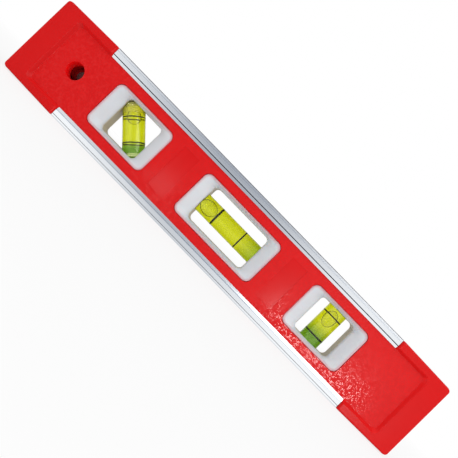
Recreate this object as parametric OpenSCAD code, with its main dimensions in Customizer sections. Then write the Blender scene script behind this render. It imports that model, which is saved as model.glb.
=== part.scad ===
// Magnetic torpedo level: a two-shell moulded body between two aluminium rails, with three vials.
// The level stands on its bottom rail. X runs along it, -Y is the front face and +Z is up.
// The origin is the middle of the sole. Sizes are in millimetres.

/* [Overall] */
// Length over the two end caps
level_l = 229; // [206:1:300]
// Height from the sole to the top edge
level_h = 40.2; // [38:0.1:46]
// Thickness of the end caps
level_t = 22; // [20.5:0.1:26]

/* [Body shells] */
// Thickness of the web between the end caps
web_t = 18; // [17:0.1:20]
// Wall of the moulded shells
shell_wall = 2.2; // [1.6:0.1:2.4]
// Length of each end cap beyond the rails
cap_l = 29; // [26:0.5:40]
// How far each long edge of a cap drops towards the end
cap_drop = 0.6; // [0:0.1:1.2]
// Radius of the end corners in the front view
cap_corner_r = 2.2; // [0.5:0.1:5]
// Radius of the outer long and end edges of a cap
cap_edge_r = 0.8; // [0.3:0.1:1.2]
// Radius of the cap edges that face the rails
cap_inner_r = 1.4; // [0.5:0.1:1.8]
// Width of the raised border at each end
border_w = 9.5; // [6:0.1:14]
// Height of the raised border along the long edges of a cap
border_h = 3.7; // [2.5:0.1:4.5]
// Run of the border's sloping inner wall
border_slope = 1.2; // [0.4:0.1:2]
// Corner radius of the recessed panel
panel_r = 2.5; // [1:0.1:5]
// Thickness of the stiffening ribs
rib_t = 1.4; // [1:0.1:2]
// Width of the smooth pads between the windows
pad_w = 8.6; // [5:0.1:11]
// Height of the smooth pads
pad_h = 22.5; // [10:0.5:26]
// Depth of the smooth pads
pad_d = 0.15; // [0.1:0.05:0.4]
// Diameter of the locating pins that join the shells
pin_d = 3; // [2:0.1:3.4]
// Length of a locating pin past the joint
pin_l = 3; // [2:0.1:4]

/* [Hang hole] */
// Diameter of the hang hole in the front shell
hang_front_d = 8.1; // [7:0.1:9]
// Diameter of the hang hole in the rear shell
hang_rear_d = 5; // [4:0.1:8]
// Distance of the hang hole from the end
hang_from_end = 22.4; // [16:0.1:26]
// Depth of the collar round the hang hole, from the panel
hang_collar_d = 7; // [4:0.1:8]

/* [Rails] */
// Height of a rail's legs, with the sole
rail_h = 4.8; // [4.5:0.1:6]
// Thickness of a rail's legs
rail_leg_t = 1.2; // [0.8:0.1:1.4]
// Thickness of a rail's sole
rail_sole_t = 1.6; // [1.2:0.1:2.2]
// Height of the sloping lip at a leg's inner edge
lip_h = 1.4; // [0.8:0.1:1.8]
// Distance of the outer line from a leg's inner edge
outer_line_at = 3.6; // [3:0.1:4]
// Chamfer of a rail's outer edges
rail_chamfer = 0.4; // [0.2:0.05:0.8]
// Width of the channel along the sole
channel_w = 8.4; // [6:0.1:9]
// Depth of the channel along the sole
channel_d = 2.3; // [1.8:0.1:2.6]
// Chamfer at the channel's mouth
channel_chamfer = 0.8; // [0.3:0.1:1.2]

/* [Magnets] */
// Length of a bar magnet
magnet_l = 40; // [20:1:46]
// Thickness of a bar magnet
magnet_t = 2; // [1.5:0.1:2.1]
// Distance of the outer magnets from the end caps
magnet_from_cap = 5.5; // [1:0.1:12]

/* [Windows] */
// Height of the see-through windows
window_h = 18.3; // [16:0.1:19]
// Width of the level window
level_window_w = 32; // [26:0.1:34]
// Width of the two cross windows
cross_window_w = 19.2; // [17:0.1:22]
// Corner radius of the see-through windows
window_r = 2; // [1:0.1:3]
// Height of the white bezels
bezel_h = 22.1; // [21:0.1:23]
// Width of the level bezel
level_bezel_w = 45.1; // [42:0.1:47]
// Width of the two cross bezels
cross_bezel_w = 32.5; // [30:0.1:34]
// Corner radius of the bezels
bezel_r = 3; // [2:0.1:4]
// Depth of the window's inner rim below the panel
rim_d = 3.9; // [3:0.1:4.2]
// How far a bezel's face lies below the panel
bezel_sink = 0.3; // [0.1:0.05:0.6]
// Wall of the bezels
bezel_wall = 1.3; // [1:0.1:1.6]
// Width of the shoulder that holds a bezel behind the panel
bezel_step = 0.8; // [0.5:0.1:1]
// Distance of the cross windows from the middle
window_pitch = 59; // [56:0.5:60]

/* [Vials] */
// Outer diameter of the level vial
level_vial_d = 9.1; // [8:0.1:9.6]
// Outer diameter of the plumb and diagonal vials
cross_vial_d = 9.9; // [9:0.1:10]
// Wall of the vials
vial_wall = 1; // [0.7:0.05:1.3]
// Drop of the barrel-shaped bore from its middle to its ends
bore_sag = 0.15; // [0.05:0.05:0.3]
// Thickness of a vial's closed end
vial_end_t = 1.8; // [1:0.1:2.5]
// Length of the plug in a vial's open end
plug_l = 2; // [1.5:0.1:3]
// Distance between the level vial's lines
level_line_gap = 14.2; // [12:0.1:16]
// Distance between the cross vials' lines
cross_line_gap = 11.2; // [10:0.1:13]
// Width of a line
line_w = 0.5; // [0.3:0.05:0.8]
// Depth of a line in the vial's wall
line_d = 0.12; // [0.05:0.01:0.2]

/* [Bubbles] */
// Length of the level bubble
level_bubble_l = 8.5; // [6:0.1:9]
// Diameter of the level bubble
level_bubble_d = 5; // [4:0.1:6.7]
// Length of the plumb bubble
plumb_bubble_l = 8.2; // [6:0.1:9]
// Length of the diagonal bubble
diagonal_bubble_l = 6.6; // [5:0.1:9]
// Diameter of the plumb and diagonal bubbles
cross_bubble_d = 4.6; // [4:0.1:7]
// Place of the level bubble along its vial
level_bubble_at = -12; // [-13:0.1:13]
// Place of the plumb bubble along its vial
plumb_bubble_at = 4.1; // [-5:0.1:5]
// Place of the diagonal bubble along its vial
diagonal_bubble_at = 5.9; // [-5:0.1:6]

/* [Fits] */
// Gap between a rail and the web
rail_gap = 0.05; // [0:0.01:0.1]
// Gap round a bezel in its shell, and round a vial in its bezel
seat_gap = 0.1; // [0.05:0.01:0.2]
// Gap round a locating pin in its socket
pin_gap = 0.1; // [0.05:0.01:0.2]
// Gap between a bubble and the liquid
bubble_gap = 0.05; // [0.02:0.01:0.1]

/* [Hidden] */
$fn = 48;

shell_red = [0.86, 0.13, 0.12];
bezel_white = [0.90, 0.91, 0.94];
rail_metal = [0.80, 0.82, 0.85];
magnet_grey = [0.20, 0.20, 0.21];
vial_clear = [0.86, 0.92, 0.55, 0.35];
liquid_green = [0.78, 0.84, 0.10, 0.7];
bubble_clear = [0.95, 0.97, 0.80, 0.35];
line_black = [0.06, 0.06, 0.05];

// Cuts run this far past a face so that they open it
past = 1;

half_l = level_l / 2;
half_h = level_h / 2;
half_t = level_t / 2;
web_y = web_t / 2;
cap_x = half_l - cap_l;
border_x = half_l - border_w;
border_z = half_h - border_h;
cap_turn = atan(cap_drop / cap_l);

// The web's edges run inside the rails, round the ridge behind each channel
rail_l = 2 * cap_x - 2 * rail_gap;
magnet_pitch = cap_x - magnet_from_cap - magnet_l / 2;
rail_y = web_y + rail_gap;
ridge_w = channel_w + 2 * rail_leg_t;
ridge_z = channel_d + rail_leg_t;
web_z = half_h - rail_sole_t - rail_gap;
bead_r = 0.35;
bead_z = half_h - rail_h + lip_h;
groove_d = 0.35;
groove_w = 0.4;

cavity_y = web_y - shell_wall;
cavity_z = half_h - ridge_z - rail_gap - shell_wall;
hang_x = -(half_l - hang_from_end);
boss_d = pin_d + 3;
pin_x = [(level_bezel_w / 2 + window_pitch - cross_bezel_w / 2) / 2, border_x - boss_d / 2 + rib_t];
pin_z = cavity_z - boss_d / 2 - shell_wall;

// Each bezel has a shoulder behind the panel, which the shell's collar holds
collar_wall = rib_t;
shoulder_h = bezel_h + 2 * bezel_step;
level_vial_l = level_bezel_w + 2 * bezel_step - 2 * bezel_wall - 2 * seat_gap;
cross_vial_l = min(shoulder_h, sqrt(2) * shoulder_h - cross_vial_d);

function arc_points(centre, r, from, to, steps) =
  [for (i = [0 : steps]) let (a = from + (to - from) * i / steps) centre + r * [cos(a), sin(a)]];

// Radius of a barrel-shaped bore at a place u, from -1 at one end to 1 at the other
function bore_radius(d, u) = d / 2 - vial_wall - bore_sag * u * u;

module rounded_rect(w, h, r) {
  square([w - 2 * r, h], center = true);
  square([w, h - 2 * r], center = true);
  for (sx = [-1, 1]) {
    for (sz = [-1, 1]) {
      translate([sx * (w / 2 - r), sz * (h / 2 - r)]) circle(r);
    }
  }
}

// Stands a flat shape up as a plate between two depths
module between_y(y0, y1) {
  translate([0, y1, 0]) rotate([90, 0, 0]) linear_extrude(y1 - y0) children();
}

// Runs a cross-section of Y and Z along X, centred on the origin
module along_x(l) {
  translate([-l / 2, 0, 0]) rotate([90, 0, 90]) linear_extrude(l) children();
}

// Turns a profile of radius and length about X
module round_x() {
  rotate([0, 90, 0]) rotate_extrude() children();
}

module at_level_window() {
  translate([0, 0, half_h]) children();
}

module at_plumb_window() {
  translate([window_pitch, 0, half_h]) children();
}

module at_diagonal_window() {
  translate([-window_pitch, 0, half_h]) children();
}

module along_plumb() {
  at_plumb_window() rotate([0, -90, 0]) children();
}

module along_diagonal() {
  at_diagonal_window() rotate([0, -135, 0]) children();
}

// A cap in the front view: its long edges drop towards the end
module cap_outline() {
  drop = cap_drop;
  r = cap_corner_r;
  inner = cap_edge_r;
  polygon(concat(
    arc_points([cap_x + inner, half_h - inner], inner, 180, 90, 6),
    arc_points([half_l - r, half_h - drop - r], r, 90, 0, 10),
    arc_points([half_l - r, -(half_h - drop - r)], r, 0, -90, 10),
    arc_points([cap_x + inner, -(half_h - inner)], inner, -90, -180, 6)
  ));
}

// A long slab whose upper edges are round and drop towards the end
module cap_slab() {
  translate([cap_x, 0, half_h]) rotate([0, cap_turn, 0])
    translate([cap_l / 2, 0, -level_h]) along_x(2 * cap_l)
      rounded_rect(level_t, 2 * level_h, cap_edge_r);
}

module cap_form() {
  plan_l = 2 * cap_l;
  intersection() {
    between_y(-half_t, half_t) cap_outline();
    cap_slab();
    mirror([0, 0, 1]) cap_slab();
    translate([cap_x + plan_l / 2, 0, -half_h]) linear_extrude(level_h)
      rounded_rect(plan_l, level_t, cap_inner_r);
    translate([half_l - plan_l / 2, 0, -half_h]) linear_extrude(level_h)
      rounded_rect(plan_l, level_t, cap_edge_r);
  }
}

// The web's section: its edges are notched for the ridge inside each rail
module web_section() {
  difference() {
    square([web_t, 2 * web_z], center = true);
    for (side = [-1, 1]) {
      translate([0, side * half_h])
        square([ridge_w + 2 * rail_gap, 2 * (ridge_z + rail_gap)], center = true);
      for (face = [-1, 1]) {
        translate([face * web_y, side * bead_z]) circle(bead_r + rail_gap, $fn = 24);
      }
    }
  }
}

// Outer form of the whole body, before it is hollowed
module body_form() {
  for (end = [0, 1]) {
    mirror([end, 0, 0]) cap_form();
  }
  along_x(2 * (cap_x + cap_inner_r)) web_section();
}

// The recess between the raised borders, open towards the front
module panel_recess() {
  foot_l = 2 * (border_x - border_slope);
  foot_h = 2 * (border_z - border_slope);
  hull() {
    between_y(-half_t - past, -half_t) rounded_rect(2 * border_x, 2 * border_z, panel_r, $fn = 32);
    between_y(-web_y - 0.01, -web_y) rounded_rect(foot_l, foot_h, panel_r, $fn = 32);
  }
}

// The hollow of one shell, from its panel to the joint
module shell_hollow() {
  inner_x = half_l - shell_wall;
  cap_inner_z = half_h - cap_drop - shell_wall;
  translate([-inner_x, -cavity_y, -cavity_z]) cube([2 * inner_x, cavity_y + past, 2 * cavity_z]);
  for (end = [0, 1]) {
    mirror([end, 0, 0]) {
      translate([cap_x + shell_wall, -cavity_y, -cap_inner_z])
        cube([cap_l - 2 * shell_wall, cavity_y + past, 2 * cap_inner_z]);
      translate([border_x + shell_wall, -half_t + shell_wall, -cavity_z])
        cube([border_w - 2 * shell_wall, half_t, 2 * cavity_z]);
    }
  }
}

// A wall round a window that holds the bezel's shoulder
module window_collar(w) {
  between_y(-cavity_y - shell_wall / 2, 0)
    rounded_rect(w + 2 * (bezel_step + seat_gap + collar_wall),
                 shoulder_h + 2 * (seat_gap + collar_wall), bezel_r + bezel_step + collar_wall);
}

module window_cut(w) {
  between_y(-half_t - past, past) rounded_rect(w + 2 * seat_gap, bezel_h + 2 * seat_gap, bezel_r);
  between_y(-cavity_y, past)
    rounded_rect(w + 2 * (bezel_step + seat_gap), shoulder_h + 2 * seat_gap, bezel_r + bezel_step);
}

// Calls its children at each locating pin
module at_pins() {
  for (x = pin_x) {
    for (sx = [-1, 1]) {
      for (sz = [-1, 1]) {
        translate([sx * x, 0, sz * pin_z]) rotate([90, 0, 0]) children();
      }
    }
  }
}

// Ribs, collars and bosses inside a shell
module shell_inside(hang_d) {
  rib_x = [pin_x[0], cap_x - rib_t, pin_x[1]];
  for (x = rib_x) {
    for (sx = [-1, 1]) {
      translate([sx * x - rib_t / 2, -cavity_y - shell_wall / 2, -cavity_z - shell_wall / 2])
        cube([rib_t, cavity_y + shell_wall / 2, 2 * cavity_z + shell_wall]);
    }
  }
  at_pins() cylinder(h = cavity_y + shell_wall / 2, d = boss_d);
  window_collar(level_bezel_w);
  for (sx = [-1, 1]) {
    translate([sx * window_pitch, 0, 0]) window_collar(cross_bezel_w);
  }
  translate([hang_x, -web_y + hang_collar_d, 0]) rotate([90, 0, 0])
    cylinder(h = hang_collar_d - shell_wall / 2, d = hang_d + 2 * rib_t);
}

// One half of the body, lying on the front side of the joint
module shell_half(hang_d) {
  difference() {
    union() {
      difference() {
        intersection() {
          body_form();
          translate([-level_l, -level_t, -level_h]) cube([2 * level_l, level_t, 2 * level_h]);
        }
        shell_hollow();
      }
      shell_inside(hang_d);
    }
    panel_recess();
    window_cut(level_bezel_w);
    for (sx = [-1, 1]) {
      translate([sx * window_pitch, 0, 0]) window_cut(cross_bezel_w);
    }
    translate([hang_x, past, 0]) rotate([90, 0, 0]) cylinder(h = level_t, d = hang_d);
  }
}

module front_shell() {
  color(shell_red) translate([0, 0, half_h]) {
    difference() {
      shell_half(hang_front_d);
      for (sx = [-1, 1]) {
        translate([sx * pin_x[0], 0, 0]) between_y(-half_t, -web_y + pad_d)
          square([pad_w, pad_h], center = true);
      }
    }
    at_pins() translate([0, 0, -pin_l]) cylinder(h = pin_l + boss_d, d = pin_d);
  }
}

module rear_shell() {
  socket_l = pin_l + 2 * pin_gap;
  color(shell_red) translate([0, 0, half_h]) difference() {
    mirror([0, 1, 0]) shell_half(hang_rear_d);
    at_pins() translate([0, 0, -socket_l]) cylinder(h = socket_l + past, d = pin_d + 2 * pin_gap);
  }
}

// One leg of a rail: a sloping lip, a groove, a flat and a fine outer line
module rail_leg_section() {
  t = rail_leg_t;
  top = rail_h;
  gap = groove_w / 2;
  outer = top - outer_line_at;
  polygon([
    [rail_y, 0], [rail_y + t - rail_chamfer, 0], [rail_y + t, rail_chamfer],
    [rail_y + t, outer - gap / 2], [rail_y + t - groove_d / 2, outer], [rail_y + t, outer + gap / 2],
    [rail_y + t, top - lip_h - gap], [rail_y + t - groove_d, top - lip_h],
    [rail_y + t - groove_d / 4, top - lip_h + gap], [rail_y + t / 3, top], [rail_y, top]
  ]);
  translate([rail_y, rail_h - lip_h]) circle(bead_r, $fn = 24);
}

// A rail's section, with its sole down
module rail_section() {
  mouth = channel_w / 2 + channel_chamfer;
  difference() {
    union() {
      for (side = [0, 1]) {
        mirror([side, 0]) rail_leg_section();
      }
      translate([-rail_y, 0]) square([2 * rail_y, rail_sole_t]);
      translate([-ridge_w / 2, 0]) square([ridge_w, ridge_z]);
    }
    translate([-channel_w / 2, -past]) square([channel_w, channel_d + past]);
    polygon([
      [-mouth, 0], [mouth, 0],
      [channel_w / 2, channel_chamfer], [-channel_w / 2, channel_chamfer]
    ]);
  }
}

module bottom_rail() {
  color(rail_metal) along_x(rail_l) rail_section();
}

module top_rail() {
  color(rail_metal) translate([0, 0, level_h]) mirror([0, 0, 1]) along_x(rail_l) rail_section();
}

// A bar magnet glued to the channel's floor
module magnet(place) {
  magnet_w = channel_w - 2 * seat_gap;
  color(magnet_grey) translate([place * magnet_pitch, 0, channel_d - magnet_t / 2])
    cube([magnet_l, magnet_w, magnet_t], center = true);
}

module magnet_left() magnet(-1);
module magnet_middle() magnet(0);
module magnet_right() magnet(1);

// A white frame that leads the eye down to the window and cradles half of the vial
module bezel(w, window_w, vial_d, vial_l, vial_turn) {
  face_y = web_y - bezel_sink;
  shoulder_y = cavity_y - seat_gap;
  lip = 0.4;
  pocket_x0 = window_w / 2 + bezel_wall;
  pocket_x1 = w / 2 + bezel_step - bezel_wall;
  pocket_z = shoulder_h / 2 - bezel_wall;
  rim_y = web_y - rim_d;
  color(bezel_white) difference() {
    union() {
      between_y(-face_y, -shoulder_y + 0.5) rounded_rect(w, bezel_h, bezel_r);
      between_y(-shoulder_y, 0)
        rounded_rect(w + 2 * bezel_step, shoulder_h, bezel_r + bezel_step);
    }
    hull() {
      between_y(-face_y - past, -face_y)
        rounded_rect(w - 2 * lip, bezel_h - 2 * lip, bezel_r - lip, $fn = 32);
      between_y(-rim_y, -rim_y + 0.01)
        rounded_rect(window_w, window_h, window_r, $fn = 32);
    }
    between_y(-level_t, past) rounded_rect(window_w, window_h, window_r);
    for (side = [0, 1]) {
      mirror([side, 0, 0]) translate([pocket_x0, -rim_y + bezel_wall, -pocket_z])
        cube([pocket_x1 - pocket_x0, level_t, 2 * pocket_z]);
    }
    rotate([0, vial_turn, 0]) rotate([0, 90, 0])
      cylinder(h = vial_l + 2 * seat_gap, d = vial_d + 2 * seat_gap, center = true);
  }
}

module level_bezel() {
  bezel(level_bezel_w, level_window_w, level_vial_d, level_vial_l, 0);
}

module plumb_bezel() {
  bezel(cross_bezel_w, cross_window_w, cross_vial_d, cross_vial_l, -90);
}

module diagonal_bezel() {
  bezel(cross_bezel_w, cross_window_w, cross_vial_d, cross_vial_l, -135);
}

module level_bezel_front() at_level_window() level_bezel();
module level_bezel_rear() at_level_window() mirror([0, 1, 0]) level_bezel();
module plumb_bezel_front() at_plumb_window() plumb_bezel();
module plumb_bezel_rear() at_plumb_window() mirror([0, 1, 0]) plumb_bezel();
module diagonal_bezel_front() at_diagonal_window() diagonal_bezel();
module diagonal_bezel_rear() at_diagonal_window() mirror([0, 1, 0]) diagonal_bezel();

// The space inside a vial, as a profile of radius and length
module bore_profile(d, l) {
  from = -l / 2 + vial_end_t;
  to = l / 2 - plug_l;
  steps = 12;
  polygon(concat(
    [[0, from]],
    [for (i = [0 : steps]) let (u = 2 * i / steps - 1)
      [bore_radius(d, u), from + (to - from) * i / steps]],
    [[0, to]]
  ));
}

// A clear barrel with one closed end, a seat for its plug and a groove for each line
module vial(d, l, line_gap) {
  plug_r = bore_radius(d, 1);
  color(vial_clear) difference() {
    round_x() translate([0, -l / 2]) square([d / 2, l]);
    round_x() bore_profile(d, l);
    round_x() translate([0, l / 2 - plug_l]) square([plug_r, plug_l + past]);
    for (side = [-1, 1]) {
      round_x() translate([d / 2 - line_d, side * line_gap / 2 - line_w / 2])
        square([line_d + past, line_w]);
    }
  }
}

// A plug with a shallow dimple in its outer face
module plug(d, l) {
  plug_r = bore_radius(d, 1);
  dimple_d = plug_l / 3;
  color(vial_clear) round_x() polygon([
    [0, l / 2 - plug_l], [plug_r, l / 2 - plug_l], [plug_r, l / 2],
    [plug_r / 2, l / 2], [plug_r / 2 - dimple_d / 2, l / 2 - dimple_d], [0, l / 2 - dimple_d]
  ]);
}

module lines(d, line_gap) {
  color(line_black) for (side = [-1, 1]) {
    round_x() translate([d / 2 - line_d, side * line_gap / 2 - line_w / 2]) square([line_d, line_w]);
  }
}

// Half of an ellipse, turned about the vial's axis
module bubble_form(l, d, place, grow) {
  steps = 16;
  round_x() translate([0, place]) polygon([
    for (i = [0 : steps]) let (a = -90 + 180 * i / steps)
      [(d / 2 + grow) * cos(a), (l / 2 + grow) * sin(a)]
  ]);
}

module liquid(d, l, bubble_l, bubble_d, place) {
  color(liquid_green) difference() {
    round_x() bore_profile(d, l);
    bubble_form(bubble_l, bubble_d, place, bubble_gap);
  }
}

module level_vial() at_level_window() vial(level_vial_d, level_vial_l, level_line_gap);
module level_plug() at_level_window() plug(level_vial_d, level_vial_l);
module level_lines() at_level_window() lines(level_vial_d, level_line_gap);
module level_liquid() at_level_window()
  liquid(level_vial_d, level_vial_l, level_bubble_l, level_bubble_d, level_bubble_at);
module level_bubble() color(bubble_clear) at_level_window()
  bubble_form(level_bubble_l, level_bubble_d, level_bubble_at, 0);

module plumb_vial() along_plumb() vial(cross_vial_d, cross_vial_l, cross_line_gap);
module plumb_plug() along_plumb() plug(cross_vial_d, cross_vial_l);
module plumb_lines() along_plumb() lines(cross_vial_d, cross_line_gap);
module plumb_liquid() along_plumb()
  liquid(cross_vial_d, cross_vial_l, plumb_bubble_l, cross_bubble_d, plumb_bubble_at);
module plumb_bubble() color(bubble_clear) along_plumb()
  bubble_form(plumb_bubble_l, cross_bubble_d, plumb_bubble_at, 0);

module diagonal_vial() along_diagonal() vial(cross_vial_d, cross_vial_l, cross_line_gap);
module diagonal_plug() along_diagonal() plug(cross_vial_d, cross_vial_l);
module diagonal_lines() along_diagonal() lines(cross_vial_d, cross_line_gap);
module diagonal_liquid() along_diagonal()
  liquid(cross_vial_d, cross_vial_l, diagonal_bubble_l, cross_bubble_d, diagonal_bubble_at);
module diagonal_bubble() color(bubble_clear) along_diagonal()
  bubble_form(diagonal_bubble_l, cross_bubble_d, diagonal_bubble_at, 0);

front_shell();
rear_shell();
top_rail();
bottom_rail();
magnet_left();
magnet_middle();
magnet_right();
level_bezel_front();
level_bezel_rear();
plumb_bezel_front();
plumb_bezel_rear();
diagonal_bezel_front();
diagonal_bezel_rear();
level_vial();
level_plug();
level_lines();
level_liquid();
level_bubble();
plumb_vial();
plumb_plug();
plumb_lines();
plumb_liquid();
plumb_bubble();
diagonal_vial();
diagonal_plug();
diagonal_lines();
diagonal_liquid();
diagonal_bubble();
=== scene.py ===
"""A short magnetic spirit level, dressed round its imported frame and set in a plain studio."""

import logging
import math
from dataclasses import dataclass, field
from enum import Enum, IntEnum
from functools import cache
from typing import Callable, Iterable, Sequence

import bmesh
import bpy
from bmesh.types import BMEdge, BMesh, BMFace
from bpy.types import ID, Material, Node, NodeSocket, Object
from mathutils import Matrix, Vector


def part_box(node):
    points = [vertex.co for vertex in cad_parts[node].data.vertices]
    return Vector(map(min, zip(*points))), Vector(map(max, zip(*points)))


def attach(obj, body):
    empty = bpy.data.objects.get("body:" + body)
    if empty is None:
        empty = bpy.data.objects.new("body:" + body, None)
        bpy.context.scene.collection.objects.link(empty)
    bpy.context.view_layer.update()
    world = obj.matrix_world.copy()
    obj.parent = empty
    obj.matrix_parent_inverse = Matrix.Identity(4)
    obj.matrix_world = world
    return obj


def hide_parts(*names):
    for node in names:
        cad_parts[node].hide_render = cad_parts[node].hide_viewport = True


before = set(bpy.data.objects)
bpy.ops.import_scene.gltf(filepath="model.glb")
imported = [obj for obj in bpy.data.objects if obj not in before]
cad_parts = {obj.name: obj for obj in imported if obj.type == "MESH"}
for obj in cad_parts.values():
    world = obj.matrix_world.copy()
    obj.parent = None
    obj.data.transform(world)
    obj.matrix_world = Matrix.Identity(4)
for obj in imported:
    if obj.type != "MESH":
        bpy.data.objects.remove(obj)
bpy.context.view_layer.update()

log = logging.getLogger("level")

MM = 0.001
MID_HEIGHT = 20.1 * MM  # the windows' middle, over the sole
WEB_FACE = 9.0 * MM  # the grained panel, from the middle plane
CAP_FACE = 11.0 * MM  # the end caps' faces, from the middle plane
BODY = "level"
# attributes that carry a painted red glow near an edge and painted shade deep inside
EDGE_NEAR = "edge_near"
INSIDE = "inside"
Colour = tuple[float, float, float]
Value = float | Sequence[float] | NodeSocket
WHITE: Colour = (1.0, 1.0, 1.0)
CORNER_STEPS = 10
ROUND_STEPS = 96
WELD = 0.0005 * MM  # points of a drawn piece this near are one
MERGE = 0.002 * MM  # and so are those of a CAD node


def srgb(red: int, green: int, blue: int) -> Colour:
    """Turns a colour as a screen shows it, in parts of 0 to 255, into the linear one of a shader."""
    parts = [p / 255 for p in (red, green, blue)]
    return tuple(p / 12.92 if p <= 0.04045 else ((p + 0.055) / 1.055) ** 2.4 for p in parts)


class Side(Enum):
    """The two faces of the level, by the sign of Y that they look towards."""

    FRONT = -1.0
    REAR = 1.0


class Station(Enum):
    """The three windows, by the angle in degrees that each vial leans from the length of the level."""

    LEVEL = 0.0
    PLUMB = 90.0
    DIAGONAL = 135.0

    @property
    def label(self) -> str:
        """The station's name, as the nodes have it."""
        return self.name.lower()

    @property
    def lean(self) -> Matrix:
        """The turn from the X axis to the vial's own."""
        return Matrix.Rotation(-math.radians(self.value), 4, "Y")

    def extent(self, part: str) -> float:
        """The length along the vial of one of its CAD nodes. The diagonal set is as long as the plumb one."""
        low, high = box(f"{'level' if self is Station.LEVEL else 'plumb'}_{part}")
        return high.x - low.x if self is Station.LEVEL else high.z - low.z


# Finishes


class Graph:
    """The nodes of a material or a world, added and joined by short calls."""

    def __init__(self, name: str, world: bool = False) -> None:
        """Starts a material or a world.

        Args:
            name: What it is called.
            world: Whether it is a world.
        """
        self.owner = (bpy.data.worlds if world else bpy.data.materials).new(name)
        self.owner.use_nodes = True
        self.tree = self.owner.node_tree
        self.shader = self.tree.nodes["Background" if world else "Principled BSDF"]
        self.end = self.tree.nodes["World Output" if world else "Material Output"].inputs["Surface"]
        self.place = self.add("ShaderNodeTexCoord").outputs["Generated" if world else "Object"]

    def add(self, kind: str, settings: dict | None = None, **values: Value) -> Node:
        """Adds a node.

        Args:
            kind: The node's type.
            settings: Its properties by name.
            **values: Its sockets by name, with _ for a space. A socket of another node is joined.

        Returns:
            The node.
        """
        node = self.tree.nodes.new(kind)
        for key, value in (settings or {}).items():
            setattr(node, key, value)
        for key, value in values.items():
            self.feed(node.inputs[key.replace("_", " ")], value)
        return node

    def join(self, kind: str, settings: dict | None, inputs: dict[int, Value], output: int = 0) -> NodeSocket:
        """Adds a node whose sockets go by number, because they share their names.

        Args:
            kind: The node's type.
            settings: Its properties by name.
            inputs: What its sockets take, by number.
            output: The number of the output wanted.

        Returns:
            The output.
        """
        node = self.add(kind, settings)
        for number, value in inputs.items():
            self.feed(node.inputs[number], value)
        return node.outputs[output]

    def feed(self, socket: NodeSocket, value: Value) -> None:
        """Sets a socket to a plain value, or joins another node's output to it.

        Args:
            socket: The input to feed.
            value: A number, a colour, a vector or an output socket.
        """
        if isinstance(value, NodeSocket):
            self.tree.links.new(value, socket)
        elif socket.type == "RGBA" and len(value) == 3:
            socket.default_value = (*value, 1.0)
        else:
            socket.default_value = value

    def surface(self, **values: Value) -> None:
        """Feeds the shader's own sockets, by name with _ for a space."""
        for key, value in values.items():
            self.feed(self.shader.inputs[key.replace("_", " ")], value)

    def noise(self, scale: float | Sequence[float], detail: float = 2.0, rough: float = 0.5) -> NodeSocket:
        """Adds a noise pattern on the piece.

        Args:
            scale: Features per metre, as one number or along X, Y and Z.
            detail: How many finer layers it has.
            rough: How strong the finer layers are.

        Returns:
            Its 0 to 1 output.
        """
        place = self.place
        if not isinstance(scale, float):
            place = self.add("ShaderNodeMapping", None, Vector=place, Scale=scale).outputs["Vector"]
            scale = 1.0
        values = {"Vector": place, "Scale": scale, "Detail": detail, "Roughness": rough}
        return self.add("ShaderNodeTexNoise", None, **values).outputs["Fac"]

    def between(
        self, factor: NodeSocket, low: float = 0.0, high: float = 1.0, start: float = 0.3, end: float = 0.7,
        kind: str = "LINEAR",
    ) -> NodeSocket:
        """Stretches a pattern to a range of numbers.

        Args:
            factor: The pattern.
            low: The result at the range's start.
            high: The result at its end.
            start: The pattern's value that gives low.
            end: The pattern's value that gives high.
            kind: How it runs from one to the other, LINEAR or SMOOTHSTEP.

        Returns:
            The output.
        """
        values = {"Value": factor, "From_Min": start, "From_Max": end, "To_Min": low, "To_Max": high}
        return self.add("ShaderNodeMapRange", {"interpolation_type": kind}, **values).outputs["Result"]

    def over(self, factor: NodeSocket, under: Value, other: Value) -> NodeSocket:
        """Lays one colour over another by a factor, and gives the colour output."""
        return self.join("ShaderNodeMix", {"data_type": "RGBA"}, {0: factor, 6: under, 7: other}, 2)

    def cover(self, factor: NodeSocket, under: NodeSocket, other: NodeSocket) -> NodeSocket:
        """Lays one shader over another by a factor, and gives the shader output."""
        return self.join("ShaderNodeMixShader", None, {0: factor, 1: under, 2: other})

    def combine(self, kind: str, first: NodeSocket, second: NodeSocket) -> NodeSocket:
        """Makes one number of two, by a kind such as ADD or MAXIMUM, and keeps it between 0 and 1."""
        return self.join("ShaderNodeMath", {"operation": kind, "use_clamp": True}, {0: first, 1: second})

    def seen(self) -> NodeSocket:
        """Tells what the camera sees, also through clear pieces, from the light that falls."""
        path = self.add("ShaderNodeLightPath").outputs
        return self.combine("MAXIMUM", path["Is Camera Ray"], path["Is Transmission Ray"])

    def mottled(self, pattern: NodeSocket, colour: Colour, low: float, high: float) -> NodeSocket:
        """Varies a colour by a pattern, from the low to the high share of it."""
        return self.over(self.between(pattern), tint(colour, low), tint(colour, high))

    def bump(
        self, height: NodeSocket, depth: float, strength: float = 1.0, under: NodeSocket | None = None
    ) -> NodeSocket:
        """Turns a pattern into relief.

        Args:
            height: The pattern.
            depth: Its height in metres.
            strength: How much of it is used.
            under: A relief that it lies on, or None.

        Returns:
            The normal output.
        """
        node = self.add("ShaderNodeBump", None, Height=height, Distance=depth, Strength=strength)
        if under is not None:
            self.feed(node.inputs["Normal"], under)
        return node.outputs["Normal"]


def tint(colour: Colour, share: float) -> Colour:
    """Multiplies a linear colour by a share, capped at 1."""
    return tuple(min(1.0, part * share) for part in colour)


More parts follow.
